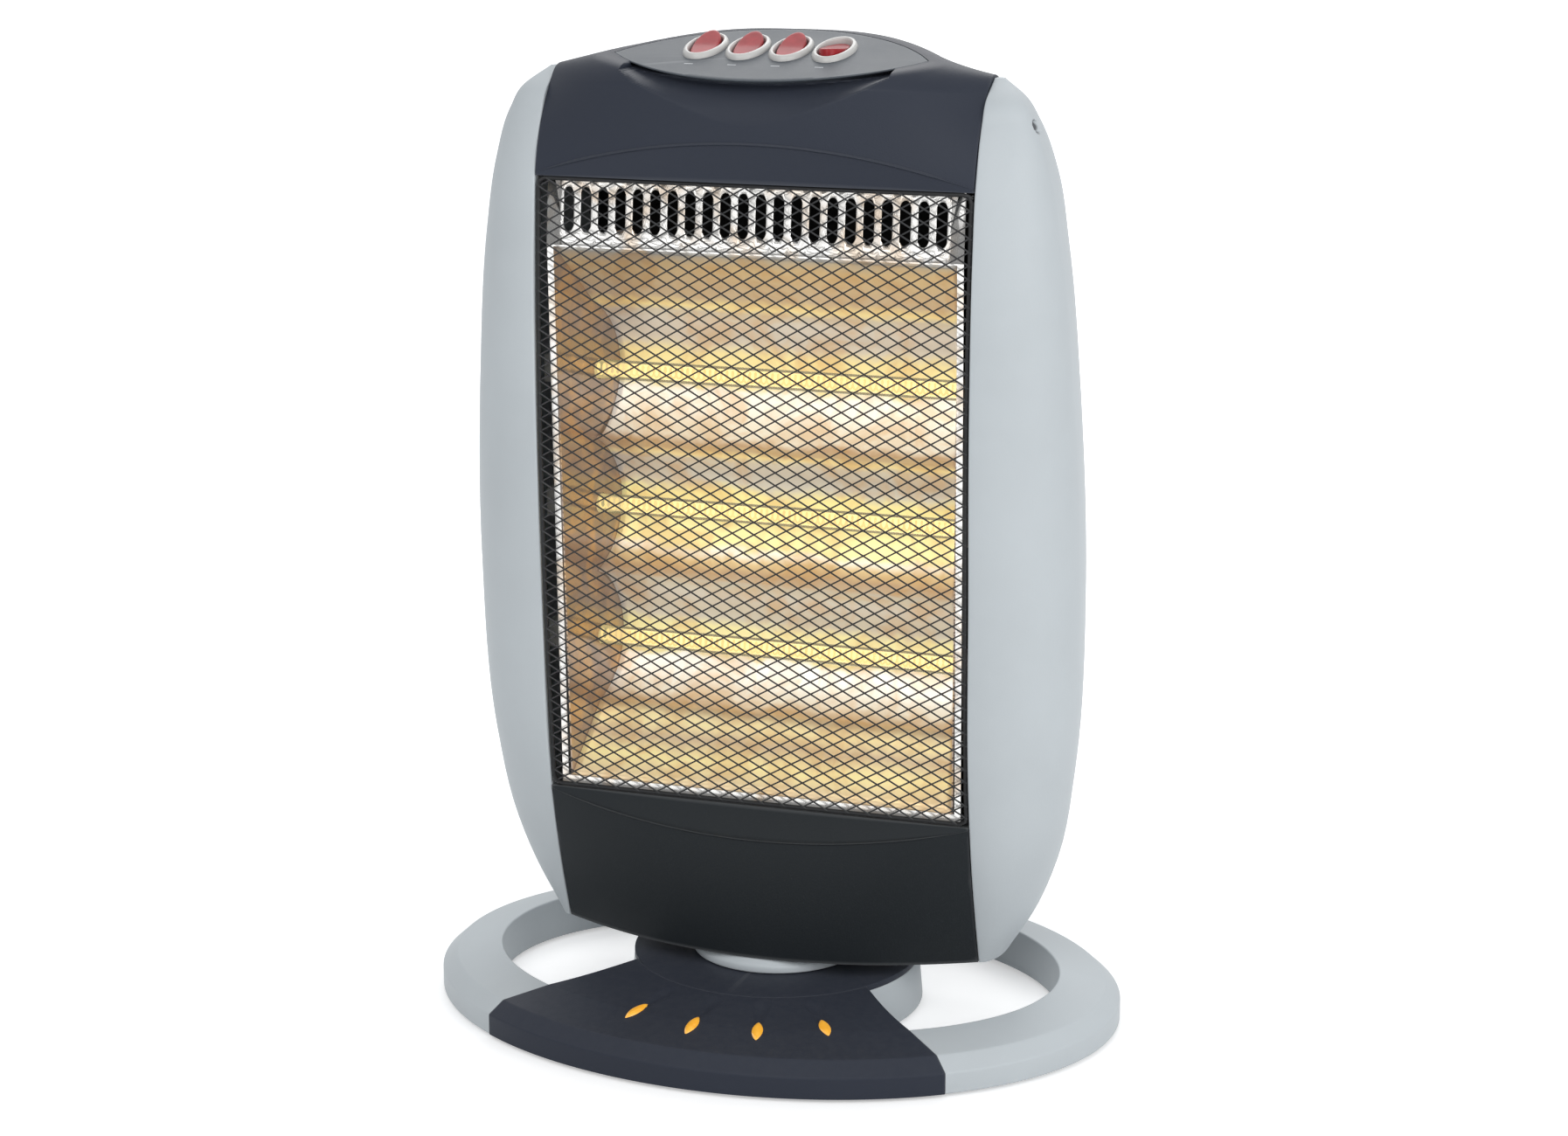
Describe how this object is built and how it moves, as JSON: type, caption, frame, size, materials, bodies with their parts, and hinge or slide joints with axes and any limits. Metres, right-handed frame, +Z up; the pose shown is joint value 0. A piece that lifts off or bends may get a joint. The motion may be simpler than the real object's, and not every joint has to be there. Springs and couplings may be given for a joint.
{
  "type": "quartz heater",
  "caption": "Free-standing electric quartz tube heater on an oval ring base, with a wire guard, a polished reflector, rocker switches on top and a swinging head.",
  "frame": {"origin": "on the floor under the middle of the oval base, on the swivel axis", "axes": "+Z up, front with the guard towards -Y, +X to the right seen from the front"},
  "size_m": [0.36, 0.2708, 0.4993],
  "materials": {
    "silver_plastic": "satin",
    "charcoal_plastic": "satin",
    "panel_grey": "matt",
    "switch_rim": "gloss",
    "switch_red": "translucent gloss",
    "amber_plastic": "gloss",
    "black_rubber": "matt",
    "polished_sheet": "polished",
    "zinc_steel": "satin",
    "black_wire": "satin",
    "quartz_glass": "clear",
    "hot_filament": "glowing",
    "white_ceramic": "matt",
    "black_plastic": "matt",
    "nylon": "matt"
  },
  "bodies": {
    "base": {"base_ring": "silver_plastic", "base_front_cover": "charcoal_plastic", "amber_markers": "amber_plastic", "hub_lid": "charcoal_plastic", "hub_bottom_plate": "zinc_steel", "rubber_foot_front_left": "black_rubber", "rubber_foot_front_right": "black_rubber", "rubber_foot_rear_left": "black_rubber", "rubber_foot_rear_right": "black_rubber", "cord_inlet": "black_rubber", "pivot_tube": "zinc_steel", "pivot_nut": "zinc_steel", "thrust_washer": "nylon", "oscillation_motor": "zinc_steel", "plunger_guide": "nylon", "tip_switch": "black_plastic"},
    "head": {"swivel_collar": "silver_plastic", "oscillation_arm": "zinc_steel", "head_floor": "zinc_steel", "terminal_block": "white_ceramic", "right_side_shell": "silver_plastic", "left_side_shell": "silver_plastic", "shell_screws": "zinc_steel", "lower_front_panel": "charcoal_plastic", "upper_front_panel": "charcoal_plastic", "control_panel": "panel_grey", "switch_bezels": "switch_rim", "switch_bodies": "black_plastic", "rear_cover": "charcoal_plastic", "heat_shield": "zinc_steel", "thermal_cutout": "zinc_steel", "reflector": "polished_sheet", "end_plates": "polished_sheet", "reflector_frame": "polished_sheet", "vent_panel": "polished_sheet", "lamp_rails": "zinc_steel", "ceramic_caps": "white_ceramic", "quartz_tube_1": "quartz_glass", "quartz_tube_2": "quartz_glass", "quartz_tube_3": "quartz_glass", "lamp_filaments": "hot_filament", "guard_wires": "black_wire", "guard_frame": "black_wire"},
    "crank": {"crank_disc": "nylon"},
    "plunger": {"tip_plunger": "nylon"},
    "rocker_1": {"rocker_1": "switch_red"},
    "rocker_2": {"rocker_2": "switch_red"},
    "rocker_3": {"rocker_3": "switch_red"},
    "rocker_4": {"rocker_4": "switch_red"}
  },
  "joints": [
    {"name": "head_swivel", "type": "hinge", "parent": "base", "child": "head", "pos_m": [0, 0, 0.036], "axis": [0, 0, 1], "range_deg": [-35, 35]},
    {"name": "crank_spin", "type": "hinge", "parent": "base", "child": "crank", "pos_m": [0, 0.04189, 0.018], "axis": [0, 0, 1], "continuous": true},
    {"name": "tip_plunger_slide", "type": "slide", "parent": "base", "child": "plunger", "axis": [0, 0, -1], "range_m": [0, 0.006], "stiffness_N_per_m": 60, "springref_m": 0.008},
    {"name": "rocker_1_tilt", "type": "hinge", "parent": "head", "child": "rocker_1", "pos_m": [-0.0361, -0.00082, 0.48936], "axis": [1, 0, 0], "range_deg": [-24, 0]},
    {"name": "rocker_2_tilt", "type": "hinge", "parent": "head", "child": "rocker_2", "pos_m": [-0.0141, -0.00082, 0.48936], "axis": [1, 0, 0], "range_deg": [-24, 0]},
    {"name": "rocker_3_tilt", "type": "hinge", "parent": "head", "child": "rocker_3", "pos_m": [0.0079, -0.00082, 0.48936], "axis": [1, 0, 0], "range_deg": [-24, 0]},
    {"name": "rocker_4_tilt", "type": "hinge", "parent": "head", "child": "rocker_4", "pos_m": [0.0299, -0.00082, 0.48936], "axis": [1, 0, 0], "range_deg": [0, 24]}
  ]
}
